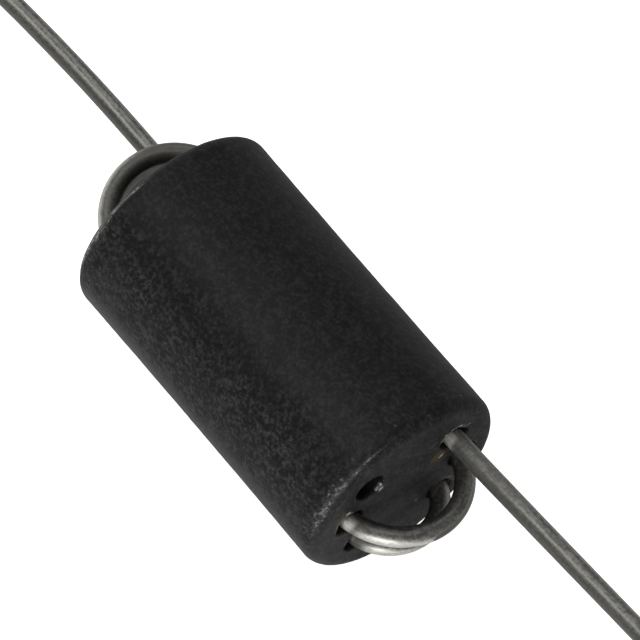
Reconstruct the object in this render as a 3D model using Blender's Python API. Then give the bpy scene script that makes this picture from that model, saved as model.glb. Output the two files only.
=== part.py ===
# Axial ferrite bead: a six-hole sintered core wound with two and a half turns of tinned copper wire.
# Units are metres. The core's axis is X, its centre is the origin, and +Z is up as the bead lies.
import math

import bmesh
import bpy
from mathutils import Vector

MM = 0.001

# Sintered core
CORE_DIAMETER = 6.0 * MM
CORE_LENGTH = 10.0 * MM
CORE_EDGE_RADIUS = 0.4 * MM      # rounding where the side meets each end face
CORE_WAIST = 0.02 * MM           # the side draws in this much at mid length when it is fired
HOLE_WALL = 0.72 * MM            # ferrite left outside each hole
HOLE_WEB = 0.455 * MM            # ferrite left between two holes of a group of three
HOLE_TURN = math.radians(-9.0)   # the middle hole of the right-hand group, from +Y
HOLE_SHIFT = 0.05 * MM           # the press pins sit this far off the core's axis, towards +Y
HOLE_MOUTH_RADIUS = 0.05 * MM    # the tumbled edge of each hole

# Tinned copper wire
WIRE_DIAMETER = 0.55 * MM
WIRE_CLEARANCE = 0.165 * MM      # between the wire and the hole, all round
FAR_TOP_REACH = 1.31 * MM        # how far the middle of each loop stands off its end face
NEAR_TOP_REACH = 1.36 * MM
FAR_LOW_REACH = 1.33 * MM
NEAR_LOW_REACH = 0.84 * MM

# Leads, measured from the end faces
LEAD_BOW_LENGTH = 8.0 * MM       # the stretch next to the core, which leans and bows
LEAD_EASE_LENGTH = 6.5 * MM      # the stretch that turns back to run along the axis
LEAD_END_LENGTH = 11.5 * MM      # the straight stretch up to the cut end
LEAD_TURN_OUT = 1.0 * MM         # the lean builds up over about this much of the bow
NEAR_LEAD_LEAN = 0.43 * MM       # sideways over the bowed stretch
NEAR_LEAD_SAG = 0.0 * MM         # how far the bow falls back over the same stretch
FAR_LEAD_LEAN = 0.32 * MM
FAR_LEAD_SAG = 0.46 * MM

# Smoothness of the round forms
CORE_SIDES = 96
EDGE_STEPS = 6
WAIST_STEPS = 6
HOLE_SIDES = 32
MOUTH_STEPS = 3
LOOP_STEPS = 28
LEAD_STEPS = 10
WIRE_BEVEL_RESOLUTION = 8
MERGE_DISTANCE = 0.0001 * MM
SHARP_ANGLE = math.radians(30)

# Sizes that follow from the ones above
CORE_RADIUS = CORE_DIAMETER / 2
HALF_LENGTH = CORE_LENGTH / 2
HOLE_RADIUS = WIRE_DIAMETER / 2 + WIRE_CLEARANCE
HOLE_CIRCLE_RADIUS = CORE_RADIUS - HOLE_WALL - HOLE_RADIUS
HOLE_STEP = 2 * math.asin((2 * HOLE_RADIUS + HOLE_WEB) / (2 * HOLE_CIRCLE_RADIUS))


def clear_scene():
    """Remove whatever the open file holds."""
    for thing in list(bpy.data.objects):
        bpy.data.objects.remove(thing)


def make_material(name, color, roughness, metallic):
    """A Principled material with one colour."""
    material = bpy.data.materials.new(name)
    material.use_nodes = True
    shader = material.node_tree.nodes["Principled BSDF"]
    shader.inputs["Base Color"].default_value = (*color, 1.0)
    shader.inputs["Roughness"].default_value = roughness
    shader.inputs["Metallic"].default_value = metallic
    return material


def hole_centre(group, place):
    """Centre (y, z) of a hole: group +1 is on the +Y side, place runs 1, 0, -1 from the top down."""
    middle = HOLE_TURN if group > 0 else HOLE_TURN + math.pi
    angle = middle + group * place * HOLE_STEP
    return (
        HOLE_SHIFT + HOLE_CIRCLE_RADIUS * math.cos(angle),
        HOLE_CIRCLE_RADIUS * math.sin(angle),
    )


def arc(centre_x, centre_r, radius, start, end, steps):
    """Points (x, r) along an arc, both ends included."""
    turns = [start + (end - start) * i / steps for i in range(steps + 1)]
    return [(centre_x + radius * math.cos(t), centre_r + radius * math.sin(t)) for t in turns]


def turned(name, profile, sides, first_angle):
    """Spin a profile of (x, r) points round the X axis and close its two ends with flat faces.

    The flats of the many-sided result lie on the true radius, and its corners just outside it.
    """
    bm = bmesh.new()
    corner = 1 / math.cos(math.pi / sides)
    cos_first, sin_first = corner * math.cos(first_angle), corner * math.sin(first_angle)
    points = [bm.verts.new((x, r * cos_first, r * sin_first)) for x, r in profile]
    line = [bm.edges.new(pair) for pair in zip(points, points[1:])]
    bmesh.ops.spin(
        bm,
        geom=points + line,
        cent=(0, 0, 0),
        axis=(1, 0, 0),
        angle=math.tau,
        steps=sides,
        use_merge=True,
    )
    bmesh.ops.remove_doubles(bm, verts=bm.verts, dist=MERGE_DISTANCE)
    open_edges = [edge for edge in bm.edges if edge.is_boundary]
    bmesh.ops.holes_fill(bm, edges=open_edges, sides=0)
    bmesh.ops.recalc_face_normals(bm, faces=bm.faces)
    mesh = bpy.data.meshes.new(name)
    bm.to_mesh(mesh)
    bm.free()
    return mesh


def core_profile():
    """Half section of the core: flat end, rounded edge, slightly waisted side, and back."""
    edge_x = HALF_LENGTH - CORE_EDGE_RADIUS
    edge_r = CORE_RADIUS - CORE_EDGE_RADIUS
    left = arc(-edge_x, edge_r, CORE_EDGE_RADIUS, math.pi, math.pi / 2, EDGE_STEPS)
    right = arc(edge_x, edge_r, CORE_EDGE_RADIUS, math.pi / 2, 0.0, EDGE_STEPS)
    side = []
    for i in range(1, WAIST_STEPS):
        along = -1 + 2 * i / WAIST_STEPS
        side.append((along * edge_x, CORE_RADIUS - CORE_WAIST * (1 - along * along)))
    return left + side + right


def hole_profile():
    """Half section of a hole cutter: straight, flaring to a rounded mouth at each end face."""
    mouth = HOLE_MOUTH_RADIUS
    mouth_x = HALF_LENGTH - mouth
    right = arc(mouth_x, HOLE_RADIUS + mouth, mouth, -math.pi / 2, 0.0, MOUTH_STEPS)
    beyond = (HALF_LENGTH + mouth, HOLE_RADIUS + mouth)
    half = right + [beyond]
    return [(-x, r) for x, r in reversed(half)] + half


def build_core(material):
    """The sintered core with its six holes cut from end to end."""
    flat_below = -math.pi / 2 + math.pi / CORE_SIDES
    mesh = turned("ferrite_core", core_profile(), CORE_SIDES, flat_below)
    mesh.materials.append(material)
    core = bpy.data.objects.new("ferrite_core", mesh)
    bpy.context.collection.objects.link(core)

    cutter_mesh = turned("hole_cutter", hole_profile(), HOLE_SIDES, 0.0)
    for group in (1, -1):
        for place in (1, 0, -1):
            y, z = hole_centre(group, place)
            cutter = bpy.data.objects.new(f"hole_cutter_{group}_{place}", cutter_mesh)
            cutter.location = (0, y, z)
            cutter.hide_render = True
            cutter.display_type = "WIRE"
            bpy.context.collection.objects.link(cutter)
            cut = core.modifiers.new(cutter.name, "BOOLEAN")
            cut.operation = "DIFFERENCE"
            cut.solver = "EXACT"
            cut.object = cutter
    mesh.shade_smooth()
    mesh.set_sharp_from_angle(angle=SHARP_ANGLE)
    return core


def loop_points(start, end, side, reach):
    """Half an ellipse from one hole to another, past the end face on the given side.

    It begins inside the holes, deep enough to have used up half of the clearance at the mouth.
    """
    start, end = Vector(start), Vector(end)
    half_span = (end - start).length / 2
    lean_in = math.acos(1 - WIRE_CLEARANCE / 2 / half_span)
    depth = reach * math.sin(lean_in) / (1 - math.sin(lean_in))
    middle = (start + end) / 2
    points = []
    for i in range(LOOP_STEPS + 1):
        turn = math.pi * i / LOOP_STEPS
        across = middle - (end - start) / 2 * math.cos(turn)
        off_face = (reach + depth) * math.sin(turn) - depth
        points.append((side * (HALF_LENGTH + off_face), *across))
    return points


def lead_offset(along, lean, sag):
    """Sideways place of a lead: a bow next to the core, an easing stretch, then straight."""
    bow = min(along, LEAD_BOW_LENGTH)
    turned_out = bow / (bow + LEAD_TURN_OUT)
    lean_slope = lean / LEAD_BOW_LENGTH
    sag_share = bow / LEAD_BOW_LENGTH
    offset = lean_slope * bow * turned_out - sag * sag_share * sag_share
    slope = lean_slope * turned_out * (2 - turned_out) - 2 * sag * sag_share / LEAD_BOW_LENGTH
    ease = min(max(along - LEAD_BOW_LENGTH, 0.0), LEAD_EASE_LENGTH)
    return offset + slope * ease * (1 - ease / LEAD_EASE_LENGTH / 2)


def lead_points(hole, side, lean, sag):
    """A lead from the mouth of its hole outwards, ending parallel to the axis."""
    y, z = hole
    bow = [LEAD_BOW_LENGTH * i / LEAD_STEPS for i in range(LEAD_STEPS)]
    ease = [LEAD_BOW_LENGTH + LEAD_EASE_LENGTH * i / LEAD_STEPS for i in range(LEAD_STEPS + 1)]
    points = []
    for along in bow + ease + [LEAD_BOW_LENGTH + LEAD_EASE_LENGTH + LEAD_END_LENGTH]:
        points.append((side * (HALF_LENGTH + along), y + lead_offset(along, lean, sag), z))
    return points


def wire_path():
    """The whole wire, from the cut end of the near lead to the cut end of the far one."""
    right_top, right_middle, right_low = (hole_centre(1, place) for place in (1, 0, -1))
    left_middle, left_low = hole_centre(-1, 0), hole_centre(-1, -1)
    near, far = 1, -1
    path = lead_points(right_top, near, NEAR_LEAD_LEAN, NEAR_LEAD_SAG)[::-1]
    path += loop_points(right_top, left_middle, far, FAR_TOP_REACH)
    path += loop_points(left_middle, right_middle, near, NEAR_TOP_REACH)
    path += loop_points(right_middle, left_low, far, FAR_LOW_REACH)
    path += loop_points(left_low, right_low, near, NEAR_LOW_REACH)
    path += lead_points(right_low, far, FAR_LEAD_LEAN, FAR_LEAD_SAG)
    return path


def build_wire(material):
    """One round wire along the path, with its cut ends closed."""
    path = wire_path()
    curve = bpy.data.curves.new("wound_wire", "CURVE")
    curve.dimensions = "3D"
    curve.bevel_depth = WIRE_DIAMETER / 2
    curve.bevel_resolution = WIRE_BEVEL_RESOLUTION
    curve.use_fill_caps = True
    spline = curve.splines.new("POLY")
    spline.points.add(len(path) - 1)
    for point, place in zip(spline.points, path):
        point.co = (*place, 1.0)
    spline.use_smooth = True
    curve.materials.append(material)
    wire = bpy.data.objects.new("wound_wire", curve)
    bpy.context.collection.objects.link(wire)
    return wire


def main():
    """Build the core and the wire wound through it."""
    clear_scene()
    ferrite = make_material("sintered_ferrite", (0.018, 0.018, 0.019), 0.75, 0.0)
    tin = make_material("tinned_copper", (0.36, 0.36, 0.34), 0.38, 1.0)
    build_core(ferrite)
    build_wire(tin)


main()
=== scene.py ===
# %% [markdown]
# # A wound ferrite bead
#
# The object is a small choke for a circuit board: a black sintered ferrite cylinder, 6 mm by 10 mm,
# with six holes along it. One tinned copper wire is threaded through five of the holes in four loops
# and leaves both ends as straight leads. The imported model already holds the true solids. Here each of
# the two pieces gets a finer surface and its real finish, in the same place and at the same size.

import bmesh
import bpy
import numpy as np
from mathutils import Matrix, Vector


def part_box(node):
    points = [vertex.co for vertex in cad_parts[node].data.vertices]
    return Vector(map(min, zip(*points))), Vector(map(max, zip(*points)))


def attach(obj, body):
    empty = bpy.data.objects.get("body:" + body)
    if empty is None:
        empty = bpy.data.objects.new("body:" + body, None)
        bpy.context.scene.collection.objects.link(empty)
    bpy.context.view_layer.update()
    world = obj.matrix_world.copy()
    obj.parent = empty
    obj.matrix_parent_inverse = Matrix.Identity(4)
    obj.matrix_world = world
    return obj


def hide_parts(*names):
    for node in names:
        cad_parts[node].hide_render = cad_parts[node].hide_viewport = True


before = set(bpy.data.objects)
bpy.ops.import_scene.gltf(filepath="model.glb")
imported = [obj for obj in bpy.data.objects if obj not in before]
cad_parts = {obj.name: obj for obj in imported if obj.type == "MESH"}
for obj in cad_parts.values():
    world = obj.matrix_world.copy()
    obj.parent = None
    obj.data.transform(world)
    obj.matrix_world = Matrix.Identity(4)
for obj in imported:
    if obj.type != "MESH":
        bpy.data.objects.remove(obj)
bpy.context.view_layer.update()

MM = 0.001
core_low, core_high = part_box("ferrite_core")
wire_low, wire_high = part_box("wound_wire")
CORE_RADIUS = (core_high.z - core_low.z) / 2
HALF_LENGTH = (core_high.x - core_low.x) / 2
LEAD_END = wire_high.x
print(f"core {2 * CORE_RADIUS / MM:.3f} x {2 * HALF_LENGTH / MM:.3f} mm,",
      f"lead ends at {LEAD_END / MM:.2f} mm")

# %% [markdown]
# ## The camera
#
# The photograph was taken with a long lens from above and to one side, so the core's two edges run
# almost parallel. A camera is easiest to place by the direction it looks from: an azimuth round the
# object, an elevation above the table and a distance, then a small shift so that the core's middle
# falls where the picture has it.

# %% Place the camera
CAMERA_AZIMUTH = np.radians(52.32)
CAMERA_ELEVATION = np.radians(63.07)
CAMERA_DISTANCE = 197.47 * MM
LENS_MM = 434.24
SENSOR_MM = 36.0
CORE_LEFT_OF_CENTRE = 0.92 * MM
CORE_BELOW_CENTRE = 0.77 * MM

to_right = Vector((np.cos(CAMERA_AZIMUTH), np.sin(CAMERA_AZIMUTH), 0))
to_camera = Vector((
    np.sin(CAMERA_AZIMUTH) * np.cos(CAMERA_ELEVATION),
    -np.cos(CAMERA_AZIMUTH) * np.cos(CAMERA_ELEVATION),
    np.sin(CAMERA_ELEVATION),
))
to_top = to_camera.cross(to_right)

camera_data = bpy.data.cameras.new("camera")
camera_data.lens = LENS_MM
camera_data.sensor_width = SENSOR_MM
camera_data.clip_start = 10 * MM
camera_data.clip_end = 20.0
camera = bpy.data.objects.new("camera", camera_data)
bpy.context.scene.collection.objects.link(camera)
turn = Matrix((to_right, to_top, to_camera)).transposed().to_4x4()
place = to_camera * CAMERA_DISTANCE + to_right * CORE_LEFT_OF_CENTRE + to_top * CORE_BELOW_CENTRE
camera.matrix_world = Matrix.Translation(place) @ turn
bpy.context.scene.camera = camera
print("camera at", [round(v / MM, 1) for v in place], "mm")

# %% [markdown]
# ## Where the holes are
#
# The six holes are two groups of three, facing each other across the core. Every hole keeps the same
# wall to the outside, and neighbours in a group keep the same web between them, so three lengths fix
# the whole pattern. The core's faces and the path of the wire both start from these centres.

# %% Hole pattern
HOLE_WALL = 0.72 * MM
HOLE_WEB = 0.455 * MM
HOLE_TURN = np.radians(-9.0)
HOLE_SHIFT = 0.05 * MM
HOLE_MOUTH_RADIUS = 0.05 * MM
WIRE_RADIUS = 0.55 * MM / 2
WIRE_CLEARANCE = 0.165 * MM
HOLE_RADIUS = WIRE_RADIUS + WIRE_CLEARANCE
HOLE_CIRCLE = CORE_RADIUS - HOLE_WALL - HOLE_RADIUS
HOLE_STEP = 2 * np.arcsin((2 * HOLE_RADIUS + HOLE_WEB) / (2 * HOLE_CIRCLE))

right_turns = HOLE_TURN + HOLE_STEP * np.array([-1, 0, 1])
hole_turns = np.concatenate([right_turns, right_turns + np.pi])
hole_centres = np.column_stack([
    HOLE_SHIFT + HOLE_CIRCLE * np.cos(hole_turns),
    HOLE_CIRCLE * np.sin(hole_turns),
])
RIGHT_LOW, RIGHT_MIDDLE, RIGHT_TOP, LEFT_TOP, LEFT_MIDDLE, LEFT_LOW = hole_centres
print("hole centres in mm:", np.round(hole_centres / MM, 3).tolist())

# %% [markdown]
# ## Random heights
#
# A sintered surface is never smooth: it is the skin of pressed powder. Fine grain can be left to the
# material, but lumps and chips have to be in the mesh, or the outline stays too clean. Random numbers
# on a cubic lattice, blended smoothly between the lattice points, give such heights for whole arrays
# of points at once, and a fixed seed gives the same stone each time.

# %% Noise on a lattice
LATTICE_SIZE = 48
LATTICE_SHIFT = 8 * LATTICE_SIZE


def lattice_noise(points, cell, seed):
    """Smooth random heights from -1 to 1 at points in metres.

    Random values stand on a cubic lattice, cell apart. A point at the share t between two of them
    takes the weight t * t * (3 - 2 t) of the further one, along each of the three axes.
    """
    table = np.random.default_rng(seed).uniform(-1, 1, (LATTICE_SIZE,) * 3)
    scaled = points / cell + LATTICE_SHIFT
    base = np.floor(scaled).astype(int)
    share = scaled - base
    share = share * share * (3 - 2 * share)
    height = np.zeros(len(points))
    for corner in np.ndindex(2, 2, 2):
        index = (base + corner) % LATTICE_SIZE
        weight = np.prod(np.where(corner, share, 1 - share), axis=1)
        height += weight * table[index[:, 0], index[:, 1], index[:, 2]]
    return height


def smooth_step(value, low, high):
    """0 below low, 1 above high, and t * t * (3 - 2 t) between them."""
    t = np.clip((value - low) / (high - low), 0, 1)
    return t * t * (3 - 2 * t)


sample = lattice_noise(np.random.default_rng(1).uniform(-3 * MM, 3 * MM, (2000, 3)), 0.3 * MM, 5)
print(f"noise runs from {sample.min():.2f} to {sample.max():.2f}")

# %% [markdown]
# ## The core as grids of points
#
# The core could be a turned cylinder with six Boolean cuts, but cuts leave long thin triangles that
# show under a grazing light. Instead the surface is laid out as seven grids that share their border
# points. One is the turned side with its rounded edges. Each of the other six starts at the border of
# a wedge of one end face, closes in on a hole, rolls over the hole's edge, runs down the hole and
# opens out again over the other end face.

# %% Rows and columns of the core
EDGE_RADIUS = 0.4 * MM
WAIST = 0.02 * MM
FACE_RADIUS = CORE_RADIUS - EDGE_RADIUS
ARC_STEP = np.radians(1.25)
RAY_STEPS = 46
FACE_ROWS = 20
MOUTH_ROWS = 4
WALL_ROWS = 16
EDGE_ROWS = 25
SIDE_ROWS = 68

borders = (hole_turns + np.roll(hole_turns, -1)) / 2
borders[-1] = (hole_turns[-1] + hole_turns[0] + 2 * np.pi) / 2
starts = np.roll(borders, 1)
starts[0] -= 2 * np.pi
arcs = []
for low, high in zip(starts, borders):
    count = round((high - low) / ARC_STEP)
    arcs.append(np.linspace(low, high, count, endpoint=False))
side_turns = np.concatenate(arcs)
print(len(side_turns), "columns round the side")


def side_profile():
    """The side's section as (x, r): quarter circles of EDGE_RADIUS at both ends, and between them
    the radius CORE_RADIUS - WAIST (1 - u * u), where u runs from 1 to -1 along the core.
    """
    turn = np.linspace(0, np.pi / 2, EDGE_ROWS)
    edge_x = HALF_LENGTH - EDGE_RADIUS + EDGE_RADIUS * np.cos(turn)
    edge_r = FACE_RADIUS + EDGE_RADIUS * np.sin(turn)
    u = np.linspace(1, -1, SIDE_ROWS)[1:-1]
    x = np.concatenate([edge_x, u * (HALF_LENGTH - EDGE_RADIUS), -edge_x[::-1]])
    r = np.concatenate([edge_r, CORE_RADIUS - WAIST * (1 - u * u), edge_r[::-1]])
    return x, r


def side_grid():
    """Rows along the section, columns round the axis: (x, r cos a, r sin a)."""
    x, r = side_profile()
    y = r[:, None] * np.cos(side_turns)
    z = r[:, None] * np.sin(side_turns)
    return np.stack(np.broadcast_arrays(x[:, None], y, z), axis=-1)


# %% [markdown]
# A wedge of the face is star-shaped seen from its hole, so a straight line from each border point to
# the hole's centre crosses nothing. Each column of the grid follows such a line, turns over the
# mouth's rounding and goes on as a line along the hole's wall. In four mouths of the near face dried
# flux bridges much of the gap to the wire on one side: there the columns run on inwards before they turn.

# %% Grids that run through the holes
def wedge_border(number):
    """Points (y, z) round one wedge: out along a ray, along the arc, and back along the next ray."""
    ray = np.arange(RAY_STEPS) / RAY_STEPS * FACE_RADIUS
    out = np.outer(ray, (np.cos(starts[number]), np.sin(starts[number])))
    turns = np.append(arcs[number], borders[number])
    along = FACE_RADIUS * np.column_stack([np.cos(turns), np.sin(turns)])
    back = np.outer(ray[:0:-1], (np.cos(borders[number]), np.sin(borders[number])))
    return np.concatenate([out, along, back])


LIP_TO_WIRE = 0.03 * MM
LIP_REACH = HOLE_RADIUS - WIRE_RADIUS - LIP_TO_WIRE
LIP_SOFT = 30
LIP_SECTION = (0.25, 0.5, 0.75, 1.0, 0.9, 0.3)  # share of its reach, row by row into the hole
FLUX_LIPS = {  # hole: middle and half width in degrees, and how much is crumbled to a light grey
    0: (58, 56, 0.1),
    2: (86, 68, 0.8),
    4: (124, 58, 0.8),
    5: (110, 50, 0.1),
}


def degrees_from(y, z, middle):
    """How many degrees the direction (y, z) lies from the direction middle, on either side of it."""
    return np.abs((np.degrees(np.arctan2(z, y)) - middle + 180) % 360 - 180)


def unit(vectors):
    """Each row divided by its length."""
    return vectors / np.linalg.norm(vectors, axis=1)[:, None]


def flux_lip(number, way):
    """Share of LIP_REACH that dried flux fills, by direction from the hole: all of it within the half
    width on either side of the lip's middle, and nothing from LIP_SOFT degrees further on.
    """
    if number not in FLUX_LIPS:
        return np.zeros(len(way))
    middle, half, _ = FLUX_LIPS[number]
    return 1 - smooth_step(degrees_from(way[:, 0], way[:, 1], middle), half, half + LIP_SOFT)


def hole_grid(number):
    """Rows go from the near face's border into the hole, through it and out to the far face's border.

    A face row lies at the share s of the way from the border to the mouth's ring. A mouth row at the
    turn q has the radius r + m (1 - sin q) and lies m (1 - cos q) inside the end face. A lip of flux
    takes its reach off the radius of the rows behind the near mouth.
    """
    border = wedge_border(number)
    centre = hole_centres[number]
    way = unit(border - centre)
    share = np.linspace(0, 1, FACE_ROWS)
    q = np.linspace(0, np.pi / 2, MOUTH_ROWS + 1)[1:]
    half_x = np.concatenate([
        np.full(FACE_ROWS, HALF_LENGTH),
        HALF_LENGTH - HOLE_MOUTH_RADIUS * (1 - np.cos(q)),
    ])
    half_r = np.concatenate([
        np.full(FACE_ROWS, HOLE_RADIUS + HOLE_MOUTH_RADIUS),
        HOLE_RADIUS + HOLE_MOUTH_RADIUS * (1 - np.sin(q)),
    ])
    half_share = np.concatenate([share, np.ones(MOUTH_ROWS)])
    inside = (HALF_LENGTH - HOLE_MOUTH_RADIUS) * np.cos(np.linspace(0, np.pi, WALL_ROWS + 2))[1:-1]
    x = np.concatenate([half_x, inside, -half_x[::-1]])
    r = np.concatenate([half_r, np.full(WALL_ROWS, HOLE_RADIUS), half_r[::-1]])
    s = np.concatenate([half_share, np.ones(WALL_ROWS), half_share[::-1]])
    lip = np.zeros(len(r))
    lip[FACE_ROWS:FACE_ROWS + len(LIP_SECTION)] = LIP_SECTION
    filled = r[:, None] - LIP_REACH * lip[:, None] * flux_lip(number, way)
    ring = centre + filled[:, :, None] * way
    flat = border + s[:, None, None] * (ring - border)
    return np.concatenate([np.broadcast_to(x[:, None, None], flat.shape[:2] + (1,)), flat], axis=-1)


# %% [markdown]
# ## Joining grids into one closed mesh
#
# Neighbouring grids were given the same border points, so joining them only means giving equal points
# one number. Rounding the coordinates to a ten-thousandth of a millimetre and asking numpy for the
# unique rows does this for the whole core.

# %% Weld grids
WELD = 0.0001 * MM


def grid_faces(rows, columns, first):
    """Quads of a grid whose columns close on themselves, as point numbers counted from first."""
    i, j = np.meshgrid(np.arange(rows - 1), np.arange(columns), indexing="ij")
    k = (j + 1) % columns
    quads = np.stack([i * columns + j, (i + 1) * columns + j, (i + 1) * columns + k, i * columns + k], -1)
    return quads.reshape(-1, 4) + first


def weld_grids(grids):
    """All grids as one list of points and quads, with points closer than WELD made one."""
    points = np.concatenate([grid.reshape(-1, 3) for grid in grids])
    quads = []
    first = 0
    for grid in grids:
        quads.append(grid_faces(grid.shape[0], grid.shape[1], first))
        first += grid.shape[0] * grid.shape[1]
    _, index, inverse = np.unique(
        np.round(points / WELD).astype(np.int64), axis=0, return_index=True, return_inverse=True
    )
    return points[index], inverse.reshape(-1)[np.concatenate(quads)]


core_points, core_quads = weld_grids([side_grid()] + [hole_grid(n) for n in range(len(hole_turns))])
print(f"core: {len(core_points)} points, {len(core_quads)} quads")

# %% [markdown]
# ## From arrays to a mesh
#
# Points and faces become a mesh in one call. Its faces are turned outwards, and the printed number of
# open edges shows that it is closed. Where a finish belongs to a place, the mesh keeps one value for
# each point under a name, for the material to read.


# %% Mesh helpers
def mesh_object(name, points, faces):
    """A mesh object at the origin, smooth, with its faces turned outwards."""
    mesh = bpy.data.meshes.new(name)
    mesh.from_pydata(points.tolist(), [], faces)
    work = bmesh.new()
    work.from_mesh(mesh)
    bmesh.ops.recalc_face_normals(work, faces=work.faces)
    open_edges = sum(not edge.is_manifold for edge in work.edges)
    print(f"{name}: {sum(len(f.verts) - 2 for f in work.faces)} triangles, {open_edges} open edges,",
          f"volume {work.calc_volume() / MM ** 3:.1f} mm3")
    work.to_mesh(mesh)
    work.free()
    mesh.shade_smooth()
    piece = bpy.data.objects.new(name, mesh)
    bpy.context.scene.collection.objects.link(piece)
    return piece


def point_normals(piece):
    """The mesh's own point normals as an array."""
    normals = np.empty(len(piece.data.vertices) * 3)
    piece.data.vertices.foreach_get("normal", normals)
    return normals.reshape(-1, 3)


def set_points(piece, points):
    """Move a mesh's points to new places."""
    piece.data.vertices.foreach_set("co", points.ravel())
    piece.data.update()


def set_attribute(piece, name, values):
    """Store one number or one vector for each point, for the material to read."""
    kind, field = ("FLOAT", "value") if values.ndim == 1 else ("FLOAT_VECTOR", "vector")
    layer = piece.data.attributes.new(name, kind, "POINT")
    layer.data.foreach_set(field, values.ravel().astype(np.float32))


ferrite = mesh_object("ferrite_body", core_points, core_quads.tolist())

# %% [markdown]
# ## Chips and grain
#
# Ferrite is a ceramic: it doesn't wear round, it chips. A fine light line runs half way round the
# rounding, at the upper left of both ends: on the far end it is a painted highlight, on the near end
# partly a painted highlight and partly chips. Such a line needs a rule for where it runs and random
# numbers for where it breaks off. Each chip only takes material away, so the surface moves inwards
# and stays inside the real size.

# %% Where the core's edges are chipped and painted with a highlight
NEAR_LINE = (53, 6.0)  # middle and half width of the line, in degrees round the rounding
FAR_HIGHLIGHT_LINE = (50, 11.0)
LINE_WANDER = 3
LINE_WANDER_SIZE = 0.5 * MM
LINE_GAP_SIZE = 0.16 * MM
CRUMB_SIZE = 0.065 * MM
# This direction also sets where the painted highlight along the far edge is strongest.
BRUISED_AND_BRIGHT = 144  # the direction round the axis where the edge has suffered most
CHIP_DEPTH = 0.022 * MM
# Spots where the painted highlight along the near edge is lighter.
LINE_SPOTS = {146: 0.7, 140: 0.4, 130: 0.5, 119.5: 0.7, 111: 0.3}  # direction: how much brighter
SPOT_HALF = 0.6
SPOT_SOFT = 3.5


def edge_turn(points, end):
    """Degrees round the rounding of one end, 0 where it meets the face and 90 at the side; and
    whether the point is on that rounding at all.
    """
    radius = np.hypot(points[:, 1], points[:, 2])
    inward = end * points[:, 0] - (HALF_LENGTH - EDGE_RADIUS)
    here = (inward > -0.01 * MM) & (radius > FACE_RADIUS - 0.01 * MM)
    return np.degrees(np.arctan2(radius - FACE_RADIUS, inward)), here


def window(points, middle, half, soft):
    """1 within half of the direction middle round the axis, falling to 0 over soft; all in degrees."""
    return 1 - smooth_step(degrees_from(points[:, 1], points[:, 2], middle), half, half + soft)


def light_line_on_edge(points, end, line, strength):
    """The light line, partly a painted highlight and partly chips: a bell curve across the turn, whose
    middle and half width in degrees are line, with a faint one three times as wide under it. The middle
    wanders, and two sizes of noise, gaps and crumbs, take from the height. On the bruised stretch the curve
    is more than twice as wide.
    """
    turn, here = edge_turn(points, end)
    wander = LINE_WANDER * lattice_noise(points * (0, 1, 1), LINE_WANDER_SIZE, 13)
    gaps = 0.5 + 0.5 * lattice_noise(points * (0, 1, 1), LINE_GAP_SIZE, 14)
    crumbs = smooth_step(lattice_noise(points, CRUMB_SIZE, 15), -0.45, 0.45)
    width = line[1] * (1 + 1.2 * window(points, BRUISED_AND_BRIGHT, 8, 12))
    off = (turn - line[0] - wander) / width
    bell = np.exp(-(off ** 2)) * (0.35 + 0.45 * gaps) * (0.45 + 0.55 * crumbs)
    halo = 0.12 * np.exp(-((off / 3) ** 2)) * (0.2 + 0.8 * crumbs)
    return here * strength * np.maximum(bell, halo)


near_line = light_line_on_edge(core_points, 1, NEAR_LINE, window(core_points, 134, 18, 36))
for direction, brighter in LINE_SPOTS.items():
    near_line *= 1 + brighter * window(core_points, direction, SPOT_HALF, SPOT_SOFT)
# Painted highlight: the light line along the far end's rounding.
far_edge_highlight = light_line_on_edge(core_points, -1, FAR_HIGHLIGHT_LINE, 1.8 * window(core_points, BRUISED_AND_BRIGHT, 28, 24))
print(f"fin line reaches {near_line.max():.2f} on the near end, {far_edge_highlight.max():.2f} on the far end")

# %% [markdown]
# Where the near end's line is brightest the edge is bruised: small separate chips lie beside the line.
# They are spots of noise that pass a threshold. Four larger ones are listed.

# %% Bruised edge
EDGE_CHIPS = {  # direction and turn of the middle, half sizes, all in degrees, and strength
    "on_the_side": ((132.5, 82), (1.1, 6), 0.5),
    "at_the_left": ((152, 74), (1.8, 8), 0.6),
    "beside_the_line": ((137.5, 73), (1.2, 7), 0.5),
    "next_to_the_line": ((133, 64), (1.5, 6), 0.6),
}


def placed_chips(points):
    """The larger chips of the near end, as ellipses in direction and turn with ragged borders."""
    turn, here = edge_turn(points, 1)
    direction = np.degrees(np.arctan2(points[:, 2], points[:, 1]))
    ragged = 0.4 * lattice_noise(points, 0.05 * MM, 18)
    total = np.zeros(len(points))
    for (middle, height), (half_way, half_turn), strength in EDGE_CHIPS.values():
        reach = np.hypot((direction - middle) / half_way, (turn - height) / half_turn)
        total = np.maximum(total, strength * (1 - smooth_step(reach + ragged, 0.5, 1.3)))
    return total * here


def bruises(points, strength):
    """Chips of the near end: two sizes of noise, over a threshold that rises away from the line."""
    turn, here = edge_turn(points, 1)
    rough = 0.5 * lattice_noise(points, 0.1 * MM, 16) + 0.5 * lattice_noise(points, 0.05 * MM, 17)
    near = np.exp(-(((turn - NEAR_LINE[0] - 6) / 22) ** 2)) * strength
    return here * smooth_step(rough + 0.55 * near, 0.52, 0.85)


bruise = 0.6 * bruises(core_points, window(core_points, BRUISED_AND_BRIGHT - 1, 10, 14))
bruise = np.maximum(bruise, placed_chips(core_points))
print(f"bruised share of the points: {np.mean(bruise > 0.3):.4f}")
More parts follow.
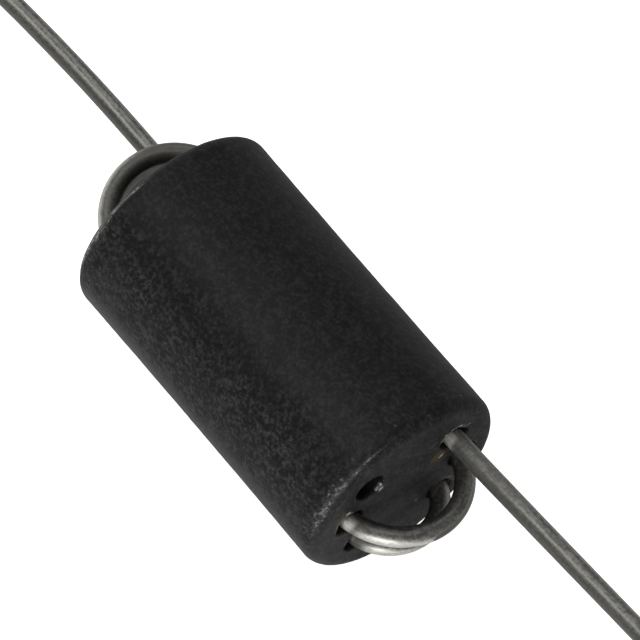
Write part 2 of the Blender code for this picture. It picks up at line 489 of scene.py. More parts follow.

# %% [markdown]
# The rims of the holes get the light colour too: chips, broken up by noise, all round, and on the lit
# sides of some mouths a painted highlight that is nearly whole. A few scars on the near face are plain
# enough to be placed one by one: each is an ellipse on the face with its place and half sizes in
# millimetres, its turn in degrees and its strength.

# %% Chipped rims with painted highlights, and single scars
SCARS = {
    "scratch_by_the_top_hole": ((1.17, 0.44), (0.13, 0.06), 30.0, 0.85),
    "crumb_right_of_the_top_hole": ((2.08, 1.15), (0.06, 0.06), 60.0, 0.8),
    "chip_of_the_empty_hole": ((-0.76, 0.97), (0.15, 0.07), 62.0, 0.95),
    "speck_under_the_middle": ((0.41, -1.17), (0.04, 0.04), 0.0, 0.8),
    "crumb_above_the_left_hole": ((-1.78, 0.80), (0.07, 0.09), 0.0, 1.0),
    "scuff_by_the_low_hole": ((0.90, -1.52), (0.24, 0.06), 50.0, 0.8),
}
# The lit side of a mouth carries a painted highlight along its rim.
LIT_MOUTHS = (  # hole, middle and half width of the nibbled side in degrees, strength
    (0, 207, 20, 0.8),
    (2, 102, 48, 1.0),
    (3, 118, 40, 0.35),
    (3, -48, 9, 0.8),
    (4, 112, 30, 0.9),
    (5, 110, 30, 0.4),
)
LIT_SOFT = 20
RIM_WIDTH = 0.045 * MM


def rim_chips_and_highlights(points):
    """Share of light colour near the rims: a bell curve of RIM_WIDTH across each rim, broken up by noise
    like chips, but nearly whole, as a painted highlight, where LIT_MOUTHS says so for the near face.
    """
    rough = 0.5 * lattice_noise(points, 0.13 * MM, 21) + 0.5 * lattice_noise(points, 0.06 * MM, 22)
    face = np.abs(points[:, 0]) > HALF_LENGTH - 2 * HOLE_MOUTH_RADIUS
    near = points[:, 0] > 0
    total = np.zeros(len(points))
    for number, (y, z) in enumerate(hole_centres):
        dy, dz = points[:, 1] - y, points[:, 2] - z
        off_rim = np.hypot(dy, dz) - HOLE_RADIUS - 0.2 * HOLE_MOUTH_RADIUS
        rim = np.exp(-((off_rim / RIM_WIDTH) ** 2)) * face
        whole = np.zeros(len(points))
        for lit, middle, half, strength in LIT_MOUTHS:
            here = (lit == number) * near
            away = degrees_from(dy, dz, middle)
            whole = np.maximum(whole, here * strength * (1 - smooth_step(away, half, half + LIT_SOFT)))
        total = np.maximum(total, smooth_step(rim * (0.5 + 0.6 * whole) + 0.5 * rough, 0.6, 1.0))
    return total


def spots_on_face(points, spots, ragged_by):
    """Ellipses on the near face with the listed half sizes and turns; noise makes the borders ragged."""
    ragged = ragged_by * lattice_noise(points, 0.06 * MM, 31)
    near = points[:, 0] > HALF_LENGTH - 0.1 * MM
    total = np.zeros(len(points))
    for (y, z), (long_half, short_half), turn, strength in spots.values():
        c, s = np.cos(np.radians(turn)), np.sin(np.radians(turn))
        dy, dz = points[:, 1] / MM - y, points[:, 2] / MM - z
        reach = np.hypot((dy * c + dz * s) / long_half, (dz * c - dy * s) / short_half)
        total = np.maximum(total, strength * (1 - smooth_step(reach + ragged, 0.6, 1.3)))
    return total * near


rim_light_share = rim_chips_and_highlights(core_points)
scars = spots_on_face(core_points, SCARS, 0.35)
# Chips and the painted highlights on edges and rims share one light colour.
chips_and_painted_light = np.clip(np.max([near_line, far_edge_highlight, bruise, rim_light_share, scars], axis=0), 0, 1)
print(f"fresh fracture on {np.mean(chips_and_painted_light > 0.5) * 100:.2f} % of the points")

# %% [markdown]
# Dried flux has left a brown coat: in two patches of the near face, on the lips in the mouths, and on the
# walls of the wired holes, where it fades with the depth. A crumbled lip is as light a grey as a chip, so
# it is added to that share. Near the mouth the walls of the wired holes also get some of that light grey,
# as painted light where they lie in shade.

# %% Dried flux
FLUX_PATCHES = {
    "patch_by_the_top_hole": ((1.10, 0.52), (0.24, 0.26), 15.0, 0.9),
    "patch_over_the_left_hole": ((-1.93, 0.78), (0.26, 0.18), 20.0, 0.9),
}
WIRED_HOLES = (0, 1, 2, 4, 5)
LIP_DEPTH = 1 * MM
COAT_DEPTH = 0.9 * MM


def from_hole(points, number):
    """Distance of points from the axis of one hole."""
    return np.hypot(points[:, 1] - hole_centres[number, 0], points[:, 2] - hole_centres[number, 1])


def on_flux_lips(points):
    """Two shares on the lips, which are the only surface between the wire and the hole's wall: how
    much is lip at all, and how much of it is crumbled to a light grey.
    """
    lip = np.zeros(len(points))
    light = np.zeros(len(points))
    crumbs = 0.75 + 0.4 * lattice_noise(points, 0.08 * MM, 32)
    near = points[:, 0] > HALF_LENGTH - LIP_DEPTH
    for number, (_, _, crumbled) in FLUX_LIPS.items():
        away = from_hole(points, number)
        here = near & (away < HOLE_RADIUS - 0.01 * MM) & (away > WIRE_RADIUS)
        lip = np.maximum(lip, here)
        light = np.maximum(light, here * crumbled * crumbs)
    return lip, light


def inside_wired_holes(points):
    """1 on the walls of the five wired holes at the near mouth, falling to 0 by COAT_DEPTH inside."""
    total = np.zeros(len(points))
    for number in WIRED_HOLES:
        total = np.maximum(total, from_hole(points, number) < HOLE_RADIUS + 0.3 * HOLE_MOUTH_RADIUS)
    return total * smooth_step(points[:, 0], HALF_LENGTH - COAT_DEPTH, HALF_LENGTH - 0.2 * MM)


lip, light_lip = on_flux_lips(core_points)
in_wired = inside_wired_holes(core_points)
flux = spots_on_face(core_points, FLUX_PATCHES, 0.5)
flux = np.max([flux, 0.6 * lip, 0.4 * in_wired], axis=0)
# Painted light: the walls of the wired holes near the mouth are lightened.
chips_and_painted_light = np.max([chips_and_painted_light, light_lip, 0.3 * in_wired], axis=0)
print(f"flux on {np.mean(flux > 0.3) * 100:.2f} % of the points")

# %% [markdown]
# The skin of the side is not the same all round. The lower left is coarse and pitted, where the press
# left more pores: a band along the whole core, with soft and uneven borders. A darker stripe runs along
# that band's upper border, and the walls of the holes are painted as dark, as painted shade. Next to it
# comes a strip that handling has polished a little. The end faces have the coarse grain too, but fainter.

# %% Coarse and polished skin, a darker stripe and painted shade in the holes
COARSE_MIDDLE = 150
COARSE_HALF = 21
COARSE_SOFT = 15
COARSE_ON_FACES = 0.32
POLISHED_MIDDLE = 107
POLISHED_HALF = 8
POLISHED_SOFT = 20
DARK_STRIPE_MIDDLE = 129
DARK_STRIPE_HALF_WIDTH = 6.5

from_axis = np.hypot(core_points[:, 1], core_points[:, 2])
patchy = np.clip(0.85 + 0.4 * lattice_noise(core_points, 0.7 * MM, 44), 0, 1)
wander = 8 * lattice_noise(core_points, 1.3 * MM, 45)
off_middle = degrees_from(core_points[:, 1], core_points[:, 2], COARSE_MIDDLE - wander)
coarse = patchy * (1 - smooth_step(off_middle, COARSE_HALF, COARSE_HALF + COARSE_SOFT))
coarse *= from_axis > CORE_RADIUS - EDGE_RADIUS / 4
on_end_face = np.abs(core_points[:, 0]) > HALF_LENGTH - 0.1 * MM
coarse = np.maximum(coarse, COARSE_ON_FACES * patchy * on_end_face)
print(f"coarse skin on {np.mean(coarse > 0.5) * 100:.1f} % of the points")

polished = window(core_points, POLISHED_MIDDLE, POLISHED_HALF, POLISHED_SOFT) * (from_axis > FACE_RADIUS)

turn_round = np.degrees(np.arctan2(core_points[:, 2], core_points[:, 1]))
off_dark_stripe = (turn_round + wander / 2 - DARK_STRIPE_MIDDLE) / DARK_STRIPE_HALF_WIDTH
stripe_patchiness = np.clip(0.55 + 0.6 * lattice_noise(core_points, 0.55 * MM, 46), 0, 1)
dark_stripe_and_hole_shade = 0.6 * stripe_patchiness * np.exp(-(off_dark_stripe ** 2)) * (from_axis > FACE_RADIUS)
# Painted shade: the walls inside the holes take the dark pore colour.
in_hole = (from_axis < FACE_RADIUS) & (np.abs(core_points[:, 0]) < HALF_LENGTH - HOLE_MOUTH_RADIUS)
dark_stripe_and_hole_shade = np.maximum(dark_stripe_and_hole_shade, 0.8 * in_hole * (chips_and_painted_light < 0.5) * (1 - in_wired))
print(f"darkened share of the points: {np.mean(dark_stripe_and_hole_shade > 0.3):.3f}")

# %% [markdown]
# Lumps and grain are everywhere, so they are added to the chips as one depth for each point. The
# material gets the shares as attributes, so its colour changes exactly where the shape does.

# %% Push the surface in
LUMP_DEPTH = 0.008 * MM
GRAIN_DEPTH = 0.004 * MM
lumps = LUMP_DEPTH * (0.5 + 0.5 * lattice_noise(core_points, 0.45 * MM, 41))
on_side = smooth_step(from_axis, FACE_RADIUS - 0.1 * MM, FACE_RADIUS + 0.1 * MM)
grain = GRAIN_DEPTH * (0.5 + 0.5 * lattice_noise(core_points, 0.12 * MM, 42)) * on_side
depth = lumps + grain + CHIP_DEPTH * chips_and_painted_light
set_points(ferrite, core_points - point_normals(ferrite) * depth[:, None])
skin_shares = {"chips_and_painted_light": chips_and_painted_light, "flux": flux, "coarse": coarse, "dark_stripe_and_hole_shade": dark_stripe_and_hole_shade, "polished": polished}
for name, values in skin_shares.items():
    set_attribute(ferrite, name, values)
print(f"surface moved in by up to {depth.max() / MM:.3f} mm")

# %% [markdown]
# ## The path of the wire
#
# The wire is wound by hand over a fixture: a straight pull through each hole and a half ellipse from
# one hole to the next. A loop starts inside the holes, where the wire has already leaned over by half
# of its clearance. The leads bow a little next to the core, where fingers have bent them, and then run
# straight. Joined as arrays, these stretches are the whole centre line.

# %% Centre line of the wire
FAR_TOP_REACH = 1.31 * MM
NEAR_TOP_REACH = 1.36 * MM
FAR_LOW_REACH = 1.33 * MM
NEAR_LOW_REACH = 0.84 * MM
BOW_LENGTH = 8.0 * MM
EASE_LENGTH = 6.5 * MM
TURN_OUT = 1.0 * MM
NEAR_LEAN = 0.43 * MM
NEAR_SAG = 0.0 * MM
FAR_LEAN = 0.32 * MM
FAR_SAG = 0.46 * MM
LOOP_POINTS = 110
HOLE_POINTS = 14
LEAD_LENGTH = LEAD_END - HALF_LENGTH
CURVED_LEAD = 15 * MM
CURVED_STEP = 0.12 * MM
STRAIGHT_POINTS = 16


def loop_path(start, end, side, reach):
    """Half an ellipse past one end face: x = (reach + depth) sin t - depth beyond the face, while
    the place across goes from one hole's centre to the other as the cosine of t.
    """
    half_span = np.linalg.norm(end - start) / 2
    lean_in = np.arccos(1 - WIRE_CLEARANCE / 2 / half_span)
    depth = reach * np.sin(lean_in) / (1 - np.sin(lean_in))
    t = np.linspace(0, np.pi, LOOP_POINTS)
    across = (start + end) / 2 - (end - start) / 2 * np.cos(t)[:, None]
    return np.column_stack([side * (HALF_LENGTH + (reach + depth) * np.sin(t) - depth), across])


def lead_path(hole, side, lean, sag):
    """A lead: leaning out by lean over the bow, falling back by sag as the square of the distance,
    then easing along a parabola until it runs along the axis, up to the cut end.
    """
    curved = np.arange(0, CURVED_LEAD, CURVED_STEP)
    along = np.concatenate([curved, np.linspace(CURVED_LEAD, LEAD_LENGTH, STRAIGHT_POINTS)])
    bow = np.minimum(along, BOW_LENGTH)
    out = bow / (bow + TURN_OUT)
    offset = lean / BOW_LENGTH * bow * out - sag * (bow / BOW_LENGTH) ** 2
    out_end = BOW_LENGTH / (BOW_LENGTH + TURN_OUT)
    slope = lean / BOW_LENGTH * out_end * (2 - out_end) - 2 * sag / BOW_LENGTH
    ease = np.clip(along - BOW_LENGTH, 0, EASE_LENGTH)
    offset += slope * ease * (1 - ease / EASE_LENGTH / 2)
    return np.column_stack([side * (HALF_LENGTH + along), hole[0] + offset, np.full(len(along), hole[1])])


def through_hole(before, after):
    """Straight points between the end of one stretch and the start of the next, ends left out."""
    share = np.linspace(0, 1, HOLE_POINTS + 2)[1:-1, None]
    return before[-1] + share * (after[0] - before[-1])


stretches = [
    lead_path(RIGHT_TOP, 1, NEAR_LEAN, NEAR_SAG)[::-1],
    loop_path(RIGHT_TOP, LEFT_MIDDLE, -1, FAR_TOP_REACH),
    loop_path(LEFT_MIDDLE, RIGHT_MIDDLE, 1, NEAR_TOP_REACH),
    loop_path(RIGHT_MIDDLE, LEFT_LOW, -1, FAR_LOW_REACH),
    loop_path(LEFT_LOW, RIGHT_LOW, 1, NEAR_LOW_REACH),
    lead_path(RIGHT_LOW, -1, FAR_LEAN, FAR_SAG),
]
path_parts = [stretches[0]]
for before, after in zip(stretches, stretches[1:]):
    path_parts += [through_hole(before, after), after]
wire_path = np.concatenate(path_parts)
steps = np.linalg.norm(np.diff(wire_path, axis=0), axis=1)
travelled = np.concatenate([[0], np.cumsum(steps)])
print(f"wire: {len(wire_path)} points, {travelled[-1] / MM:.1f} mm long")

# %% [markdown]
# ## A ring carried along the path
#
# A curve with a bevel would do for the wire, but in a grid made here each point knows how far along
# the wire and where round it is. The ring stands square to the path on a frame whose sideways axis
# stays level, which never flips, because no part of this wire runs straight up. The cut ends are a
# little rounded and closed by a single point.

# %% Wire surface
RING_POINTS = 56
END_ROUNDING = 0.03 * MM
DENT_DEPTH = 0.004 * MM


def ring_frames(path):
    """Tangent, level sideways axis and upward axis at each point of a path."""
    tangent = unit(np.gradient(path, axis=0))
    level = unit(np.cross(tangent, (0.0, 0.0, 1.0)))
    return tangent, level, np.cross(level, tangent)


def carried_ring(path, radius):
    """Points path + radius (level cos a + upward sin a), with a radius for each point of the path."""
    tangent, level, upward = ring_frames(path)
    a = np.linspace(0, 2 * np.pi, RING_POINTS, endpoint=False)
    way = level[:, None] * np.cos(a)[:, None] + upward[:, None] * np.sin(a)[:, None]
    return path[:, None] + radius[:, None, None] * way, way, a


def rounded_ends(path, rows=4):
    """The path with extra points at both ends, and the radius that rounds the cut edge there."""
    turn = np.linspace(0, np.pi / 2, rows)
    inset = END_ROUNDING * (1 - np.sin(turn))
    drop = END_ROUNDING * (1 - np.cos(turn))[::-1]
    first = path[0] + np.outer(END_ROUNDING - inset[::-1], np.sign(path[1] - path[0]) * (1, 0, 0))
    last = path[-1] + np.outer(END_ROUNDING - inset, np.sign(path[-2] - path[-1]) * (1, 0, 0))
    whole = np.concatenate([first, path[1:-1], last[::-1]])
    radius = np.full(len(whole), WIRE_RADIUS)
    radius[:rows] -= drop
    radius[-rows:] -= drop[::-1]
    return whole, radius


smooth_path, ring_radius = rounded_ends(wire_path)
ring, ring_way, ring_turn = carried_ring(smooth_path, ring_radius)
rows, columns = ring.shape[:2]
dents = lattice_noise(ring.reshape(-1, 3), 0.9 * MM, 51) * 0.5 + 0.5
wire_points = ring.reshape(-1, 3) - ring_way.reshape(-1, 3) * (DENT_DEPTH * dents)[:, None]
wire_faces = grid_faces(rows, columns, 0).tolist()
ends = [(len(wire_points), 0), (len(wire_points) + 1, (rows - 1) * columns)]
wire_points = np.concatenate([wire_points, smooth_path[[0, -1]]])
for pole, first in ends:
    wire_faces += [[pole, first + j, first + (j + 1) % columns] for j in range(columns)]
print(len(wire_faces), "faces on the wire")

# %% [markdown]
# The die's lines have to stay parallel to the wire in every bend. So each point keeps where it lies in
# the drawn wire, as one vector: its place across the wire, and how far along the wire it is.

# %% Wire object
wire = mesh_object("tinned_wire", wire_points, wire_faces)
along_wire = np.concatenate([[0], np.cumsum(np.linalg.norm(np.diff(smooth_path, axis=0), axis=1))])
draw = np.stack(np.broadcast_arrays(
    np.cos(ring_turn) * WIRE_RADIUS,
    np.sin(ring_turn) * WIRE_RADIUS,
    along_wire[:, None],
), axis=-1).reshape(-1, 3)
draw = np.concatenate([draw, [[0, 0, 0], [0, 0, along_wire[-1]]]])
set_attribute(wire, "draw", draw / MM)

# %% [markdown]
# The tin is painted lighter, as a painted highlight, on the outer side of the near loops and on the near
# lead beside its hole. The way the surface faces tells where such places are.

# %% Painted highlights on the tin
HIGHLIGHT_FACING = np.array([0.68, -0.68, -0.27])
LEAD_HIGHLIGHT_FACING = np.array([0.0, -0.8, 0.6])
LOOPS_STAND_OFF = 1.6 * MM


def painted_highlight_share(points, normals):
    """Share of painted highlight on the near end: the outer side of the loops, from the left-hand holes to
    past the middle, and the lead beside its hole.
    """
    x, y = points[:, 0], points[:, 1]
    outward = smooth_step(normals @ HIGHLIGHT_FACING, 0.45, 0.85)
    near = outward * smooth_step(x, HALF_LENGTH + 0.15 * MM, HALF_LENGTH + 0.6 * MM)
    near = near * (1 - smooth_step(y, -0.6 * MM, 1.5 * MM)) * (np.abs(x) < HALF_LENGTH + LOOPS_STAND_OFF)
    # Painted highlight on the near lead beside its hole.
    lead_highlight = 0.85 * smooth_step(normals @ LEAD_HIGHLIGHT_FACING, 0.45, 0.9)
    lead_highlight *= 1 - smooth_step(np.abs(x - HALF_LENGTH - 0.06 * MM), 0.06 * MM, 0.22 * MM)
    lead_highlight *= (points[:, 2] > 0) & (points[:, 2] < 1.6 * MM)
    return np.maximum(near, lead_highlight)


wire_normals = point_normals(wire)
painted_highlight = painted_highlight_share(wire_points, wire_normals)
print(f"rubbed at the near end: {np.mean(painted_highlight > 0.4):.3f} of the points")

# %% [markdown]
# The tin is painted darker, as painted shade: on the underside, on one side of the leads and over most of
# the far loops, whose painted highlight runs only along the outer line of their bend. It is duller next
# to the near lead's hole and at the left feet of the near loops, where flux and heat reached it; the feet
# are also painted darker, partly as painted shade at the face and partly as the tint of flux.

# %% Painted shade and matt tin
def outer_side(path, way):
    """1 on the outermost line of a bend and -1 on its innermost: the ring's direction times the
    direction away from the bend's centre, which is minus the change of the tangent.
    """
    bend = -np.gradient(ring_frames(path)[0], axis=0)
    bend /= np.maximum(np.linalg.norm(bend, axis=1), 1e-9)[:, None]
    return np.append(np.sum(way * bend[:, None], axis=-1).ravel(), (0.0, 0.0))


# Painted shade: the tin is painted darker where it faces down.
painted_shade_and_tint = 1 - smooth_step(wire_normals[:, 2], 0.35, 0.72)
from_start = draw[:, 2]
on_lead = np.minimum(from_start, from_start.max() - from_start) < LEAD_LENGTH
# Painted shade on the leads: darker on the side that faces -Y.
painted_shade_and_tint[on_lead] = 0.75 * smooth_step(-wire_normals[on_lead, 1], 0.38, 0.68)

past_far_end = -HALF_LENGTH - wire_points[:, 0]
on_far_loop = (past_far_end > 0) & ~on_lead
outer = outer_side(smooth_path, ring_way)
inner = 1 - smooth_step(outer, 0.1, 0.7)
to_the_right = smooth_step(wire_points[:, 1], -0.6 * MM, 0.6 * MM)
# Painted shade on the far loops: darker on the inner side of the bend and towards +Y, and on the low loop
# everywhere but its outer line.
far_painted_shade = 0.6 * inner * (1 - to_the_right) + (0.7 + 0.2 * inner) * to_the_right
# Painted highlight on the far loops, along the outer line of their bend.
far_painted_highlight = (1 - to_the_right) * smooth_step(outer, 0.25, 0.65)
low_loop = wire_points[:, 2] < 0
far_painted_shade = np.where(low_loop, 1 - smooth_step(outer, 0.45, 0.85), far_painted_shade)
far_painted_highlight = np.where(low_loop, 0.5 * smooth_step(outer, 0.7, 0.95), far_painted_highlight)
painted_shade_and_tint[on_far_loop] = far_painted_shade[on_far_loop]
painted_highlight[on_far_loop] = far_painted_highlight[on_far_loop]

past_near_end = wire_points[:, 0] - HALF_LENGTH
near_its_hole = on_lead * (past_near_end > 0) * (1 - smooth_step(past_near_end, 1.2 * MM, 3.6 * MM))
on_near_loop = (past_near_end > 0) & ~on_lead
foot = on_near_loop * (wire_points[:, 1] < 0) * (1 - smooth_step(past_near_end, 0.1 * MM, 0.75 * MM))
# The feet of the near loops are painted darker: partly painted shade at the face and partly the tint of
# flux.
painted_shade_and_tint = np.maximum(painted_shade_and_tint, 0.8 * foot)
matt = np.max([near_its_hole, 0.5 * on_far_loop, 0.3 * on_near_loop, foot], axis=0)
set_attribute(wire, "matt", matt)
set_attribute(wire, "painted_highlight", painted_highlight)
set_attribute(wire, "painted_shade_and_tint", painted_shade_and_tint * (1 - np.clip(2 * painted_highlight, 0, 1)))
print(f"rubbed share of all points: {np.mean(painted_highlight > 0.4):.3f}")

# %% [markdown]
# ## Shader sums as Python sums
#
# A material is a graph of small sums. Written out node by node it is hard to read, so one class wraps
# a socket and lets Python's own operators add the Math nodes. Every node comes from its one method
# node, which sets the options first and then the sockets.

# %% A socket that can be reckoned with
class Shade:
    """One output socket of a material's node tree."""

    def __init__(self, tree, socket=None):
        self.tree = tree
        self.socket = socket

    def node(self, kind, settings=None, inputs=None, output=0):
        """Add a node of a kind, set its options, fill its sockets and give back one output."""
        made = self.tree.nodes.new(kind)
        for name, value in (settings or {}).items():
            setattr(made, name, value)
        for name, value in (inputs or {}).items():
            if isinstance(value, Shade):
                self.tree.links.new(value.socket, made.inputs[name])
            else:
                made.inputs[name].default_value = value
        return Shade(self.tree, made.outputs[output])

    def math(self, operation, first, second):
        """A Math node of two values."""
        return self.node("ShaderNodeMath", {"operation": operation}, {0: first, 1: second})

    def __add__(self, other):
        return self.math("ADD", self, other)

    def __sub__(self, other):
        return self.math("SUBTRACT", self, other)

    def __mul__(self, other):
        return self.math("MULTIPLY", self, other)

    def __rsub__(self, other):
        return self.math("SUBTRACT", other, self)

    __radd__ = __add__
    __rmul__ = __mul__

    def between(self, low, high):
        """0 where the value is low or less, 1 where it is high or more, smooth between."""
        settings = {"interpolation_type": "SMOOTHSTEP"}
        return self.node("ShaderNodeMapRange", settings, {"Value": self, "From Min": low, "From Max": high})

    def mixed(self, first, second):
        """A colour from first to second, by this value."""
        settings = {"data_type": "RGBA"}
        inputs = {0: self, 6: first, 7: second}
        return self.node("ShaderNodeMix", settings, inputs, output=2)

    def stretched(self, scales):
        """This vector with its three parts multiplied by scales."""
        return self.node("ShaderNodeVectorMath", {"operation": "MULTIPLY"}, {0: self, 1: scales})

    def noise(self, scale, detail):
        """Noise from 0 to 1, read at this vector."""
        return self.node("ShaderNodeTexNoise", None, {"Vector": self, "Scale": scale, "Detail": detail})

    def attribute(self, name, output="Fac"):
        """What the mesh keeps for each point under a name."""
        return self.node("ShaderNodeAttribute", {"attribute_name": name}, None, output)

    def bump(self, strength, distance):
        """A normal tilted by this height."""
        inputs = {"Height": self, "Strength": strength, "Distance": distance}
        return self.node("ShaderNodeBump", None, inputs)


def new_material(name):
    """An empty node material with its output and shader, and a Shade to start from."""
    material = bpy.data.materials.new(name)
    material.use_nodes = True
    shader = material.node_tree.nodes["Principled BSDF"]
    return material, shader, Shade(material.node_tree)


def join(value, shader, socket):
    """Feed a socket of the shader."""
    value.tree.links.new(value.socket, shader.inputs[socket])


def linear(red, green, blue):
    """A colour given as it looks on screen, 0 to 255, as the light values that shaders use."""
    screen = np.array([red, green, blue]) / 255
    light = np.where(screen <= 0.04045, screen / 12.92, ((screen + 0.055) / 1.055) ** 2.4)
    return (*light.tolist(), 1.0)


print("black ferrite in light values:", np.round(linear(34, 34, 35), 4))

# %% [markdown]
# ## Sintered ferrite
#
# Fired ferrite is a charcoal black ceramic with a dull skin. Close up it is finely grained, and where
# the skin is coarse it is peppered with dark pores and lighter crystals. Noise of three sizes, from
# 0.25 down to 0.045 mm, gives the pepper. It is read at the object's own coordinates, and the finest
# also feeds the roughness and the bump, so that they agree.

# %% Ferrite colours and noise
FERRITE_DARK = linear(20, 20, 21)
FERRITE_LIGHT = linear(30, 30, 31)
PORE = linear(9, 9, 9)
CRYSTAL = linear(53, 54, 53)
CHIP_AND_HIGHLIGHT_DULL = linear(70, 70, 69)
CHIP_AND_HIGHLIGHT_BRIGHT = linear(166, 166, 163)
FLUX_BROWN = linear(64, 53, 29)
PEPPER_SCALE = 1 / (0.11 * MM)
GRAIN_SCALE = 1 / (0.09 * MM)
PATCH_SCALE = 1 / (0.25 * MM)
CLOUD_SCALE = 1 / (0.9 * MM)
FINE_SCALE = 1 / (0.045 * MM)
BAND_STRETCH = (0.12, 1.0, 1.0)

ferrite_material, ferrite_shader, start = new_material("sintered_ferrite")
coords = start.node("ShaderNodeTexCoord", output="Object")
pepper_noise = coords.noise(PEPPER_SCALE, 2.0)
grain_noise = coords.noise(GRAIN_SCALE, 2.0)
patch_noise = coords.noise(PATCH_SCALE, 2.0)
cloud_noise = coords.noise(CLOUD_SCALE, 3.0)
fine_noise = coords.noise(FINE_SCALE, 1.0)
band_noise = coords.stretched(BAND_STRETCH).noise(CLOUD_SCALE, 1.0)
chips_and_painted_light_share, flux_share, coarse_share, dark_stripe_and_hole_shade_share, polished_share = map(start.attribute, skin_shares)
print("noise scales per metre:", round(PATCH_SCALE), round(PEPPER_SCALE), round(FINE_SCALE))

# %% [markdown]
# The skin is built up in layers: the clouded base, the coarse pepper, the darker stripe with the painted
# shade in the holes, the flux, and on top the light colour of the chips and of the painted highlights on
# edges and rims. The same shares make the roughness. The right-hand side of the core has a duller skin
# than the left.

# %% Ferrite layers
FERRITE_BUMP = 0.03 * MM
FERRITE_SPECULAR = 0.13

clouded = grain_noise * 0.2 + patch_noise * 0.25 + cloud_noise * 0.25 + band_noise * 0.3
skin = clouded.between(0.41, 0.59).mixed(FERRITE_DARK, FERRITE_LIGHT)
speckle = pepper_noise * 0.48 + fine_noise * 0.28 + patch_noise * 0.24
pepper = speckle.between(0.43, 0.65).mixed(PORE, CRYSTAL)
skin = (0.4 + coarse_share * 0.55).mixed(skin, pepper)
# Painted shade in the holes, and the darker stripe, in the pore colour.
skin = dark_stripe_and_hole_shade_share.mixed(skin, PORE)
skin = (flux_share * 0.85).mixed(skin, FLUX_BROWN)
# The light colour of the chips and of the painted highlights on edges and rims.
chip_and_highlight_colour = (chips_and_painted_light_share * 0.5 + fine_noise * 0.6).between(0.35, 0.95).mixed(CHIP_AND_HIGHLIGHT_DULL, CHIP_AND_HIGHLIGHT_BRIGHT)
chip_and_highlight_share = chips_and_painted_light_share * (0.4 + fine_noise.between(0.35, 0.6) * 0.7)
join(chip_and_highlight_share.mixed(skin, chip_and_highlight_colour), ferrite_shader, "Base Color")
sideways = start.node("ShaderNodeSeparateXYZ", None, {"Vector": coords}, output="Y")
right_share = sideways.between(-CORE_RADIUS, CORE_RADIUS)
dullness = 0.5 + right_share * 0.18 - polished_share * 0.09 + coarse_share * 0.1 + chips_and_painted_light_share * 0.1
join(dullness + (fine_noise - 0.5) * 0.3, ferrite_shader, "Roughness")
height = (grain_noise * 0.7 + fine_noise * 0.3) * (0.3 + coarse_share * 0.7)
join(height.bump(0.7, FERRITE_BUMP), ferrite_shader, "Normal")
ferrite_shader.inputs["Specular IOR Level"].default_value = FERRITE_SPECULAR
ferrite.data.materials.append(ferrite_material)
print("ferrite material:", len(ferrite_material.node_tree.nodes), "nodes")

# %% [markdown]
# ## Tinned copper
#
# The tin is a thin matt plating, grey with a trace of yellow. The drawing die leaves fine lines that
# run along the wire, and handling leaves blotches and flecks between them. The lines are noise at the
# wire's own coordinates, squeezed hard across the wire and stretched along it, so they follow every
# bend. The painted shade and the painted highlights lie over this plating.

# %% Tin material
TIN_WARM = linear(131, 128, 124)
TIN_OLIVE = linear(122, 125, 117)
TIN_DARK = linear(101, 101, 98)
TIN_SHADE_AND_TINT = linear(70, 69, 65)
TIN_HIGHLIGHT = linear(205, 203, 196)
TIN_METALLIC = 0.82
TIN_BUMP = 0.006 * MM
LINE_STRETCH = (22.0, 22.0, 0.9)

tin_material, tin_shader, start = new_material("tinned_copper")
draw_coords = start.attribute("draw", "Vector")
line_noise = draw_coords.stretched(LINE_STRETCH).noise(1.0, 3.0)
blotch_noise = draw_coords.noise(5.0, 4.0)
fleck_noise = draw_coords.noise(12.0, 1.0)
painted_shade_and_tint_share, painted_highlight_part, matt_share = map(start.attribute, ("painted_shade_and_tint", "painted_highlight", "matt"))

light_tin = fleck_noise.between(0.42, 0.58).mixed(TIN_OLIVE, TIN_WARM)
worn = line_noise * 0.3 + blotch_noise * 0.3 + fleck_noise * 0.4
plating = worn.between(0.42, 0.58).mixed(TIN_DARK, light_tin)
# Painted shade: the tin turns darker by the share that the mesh keeps for it.
plating = (painted_shade_and_tint_share * (0.7 + blotch_noise * 0.4)).mixed(plating, TIN_SHADE_AND_TINT)
# Painted highlight: lighter tin where the mesh's share says so.
bright = painted_highlight_part * (0.75 + (line_noise - 0.5) * 1.2 + (fleck_noise - 0.5) * 0.8)
join(bright.mixed(plating, TIN_HIGHLIGHT), tin_shader, "Base Color")
gloss = 0.37 + matt_share * 0.22 + (blotch_noise - 0.5) * 0.3 + (fleck_noise - 0.5) * 0.3
join(gloss, tin_shader, "Roughness")
tin_shader.inputs["Metallic"].default_value = TIN_METALLIC
join(line_noise.bump(0.4, TIN_BUMP), tin_shader, "Normal")
wire.data.materials.append(tin_material)
print("tin material:", len(tin_material.node_tree.nodes), "nodes")

# %% [markdown]
# ## The table and the light
#
# The bead lies on a plain white table, a real surface that catches its shadow. A catalogue picture
# shows such a table as pure white, which more light on the bead would not give: so the table's own
# material adds a glow that only the camera sees, and a weaker one that only mirror-like surfaces see.

# %% Table
FLOOR_HALF = 1.5
FLOOR_COLOUR = (0.93, 0.93, 0.93, 1.0)
SEEN_GLOW = 0.85
MIRRORED_GLOW = 0.25

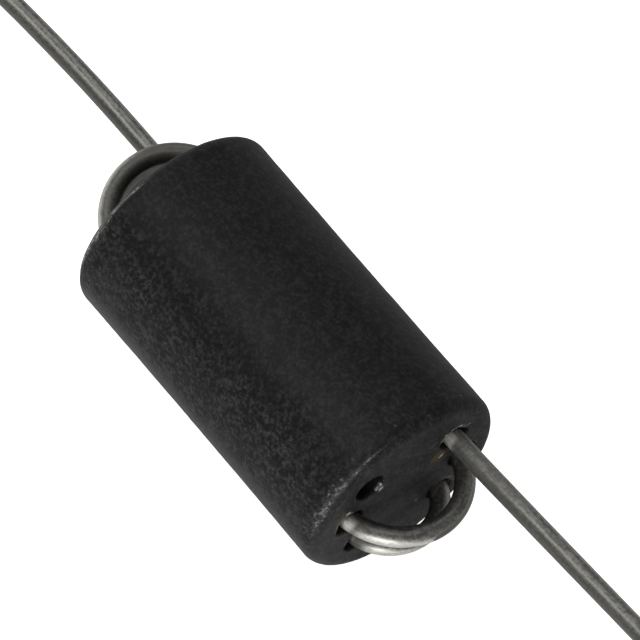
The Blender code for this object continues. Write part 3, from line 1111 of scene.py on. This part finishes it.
corners = FLOOR_HALF * np.array([(-1, -1), (1, -1), (1, 1), (-1, 1)])
floor_mesh = bpy.data.meshes.new("table")
floor_mesh.from_pydata([(x, y, -CORE_RADIUS) for x, y in corners], [], [(0, 1, 2, 3)])
floor = bpy.data.objects.new("table", floor_mesh)
bpy.context.scene.collection.objects.link(floor)
floor_material, floor_shader, start = new_material("white_table")
floor_shader.inputs["Base Color"].default_value = FLOOR_COLOUR
floor_shader.inputs["Roughness"].default_value = 0.9
floor_shader.inputs["Specular IOR Level"].default_value = 0.1
floor_shader.inputs["Emission Strength"].default_value = 1.0
seen = start.node("ShaderNodeLightPath", output="Is Camera Ray")
mirrored = start.node("ShaderNodeLightPath", output="Is Glossy Ray")
through = start.node("ShaderNodeLightPath", output="Is Transmission Ray")
join(seen * SEEN_GLOW + (mirrored + through) * MIRRORED_GLOW, floor_shader, "Emission Color")
floor_mesh.materials.append(floor_material)
print(f"table {2 * FLOOR_HALF:.0f} m across, {CORE_RADIUS / MM:.3f} mm below the axis")


# %% [markdown]
# Each lamp is a round one, given by the direction it stands in, the angle it fills as seen from the
# core, and how white it would look in a mirror. A small strong one stands low in front and gives the
# bright bands on the loops. The others are wide and weak, high on the left, at the back and overhead,
# and give the pale line along the core's top and the soft grey of the leads.

# %% Lamps
LAMP_DISTANCE = 1.0
LAMPS = {
    "lamp_high_left": (-138, 60, 28, 3.2),
    "lamp_low_front": (-45, 12, 26, 14.5),
    "lamp_low_right": (95, 15, 40, 0.25),
    "lamp_overhead": (100, 85, 40, 0.6),
    "lamp_high_back": (150, 40, 40, 1.9),
    "lamp_low_left": (-95, 25, 40, 0.7),
    "lamp_low_back": (-170, 25, 40, 0.4),
}


def round_lamp(name, azimuth, elevation, across, whiteness):
    """A disc lamp facing the core. Angles are in degrees, azimuth from +X towards +Y. The power is
    pi times the disc's area times its whiteness, which is how bright it shows in a mirror.
    """
    a, e = np.radians(azimuth), np.radians(elevation)
    way = Vector((np.cos(a) * np.cos(e), np.sin(a) * np.cos(e), np.sin(e)))
    data = bpy.data.lights.new(name, "AREA")
    data.shape = "DISK"
    data.size = 2 * LAMP_DISTANCE * np.tan(np.radians(across / 2))
    data.energy = np.pi * (np.pi * data.size ** 2 / 4) * whiteness
    lamp = bpy.data.objects.new(name, data)
    facing = way.to_track_quat("Z", "Y").to_matrix().to_4x4()
    lamp.matrix_world = Matrix.Translation(way * LAMP_DISTANCE) @ facing
    bpy.context.scene.collection.objects.link(lamp)
    print(name, round(data.energy, 2), "W")


for name, values in LAMPS.items():
    round_lamp(name, *values)

WORLD_COLOUR = (0.2, 0.2, 0.2, 1.0)
world = bpy.data.worlds.new("studio")
world.use_nodes = True
world.node_tree.nodes["Background"].inputs["Color"].default_value = WORLD_COLOUR
bpy.context.scene.world = world
bpy.context.scene.view_settings.view_transform = "Standard"

# %% [markdown]
# ## Handing the pieces over
#
# Each new surface stands in for its solid, whose own mesh is hidden, and rides on the one body there is.

# %% Ride and replace
PIECES = (
    (ferrite, "ferrite_core", "sintered_ferrite"),
    (wire, "wound_wire", "tinned_copper"),
)
for piece, node, slot in PIECES:
    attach(piece, "root")
    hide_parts(node)
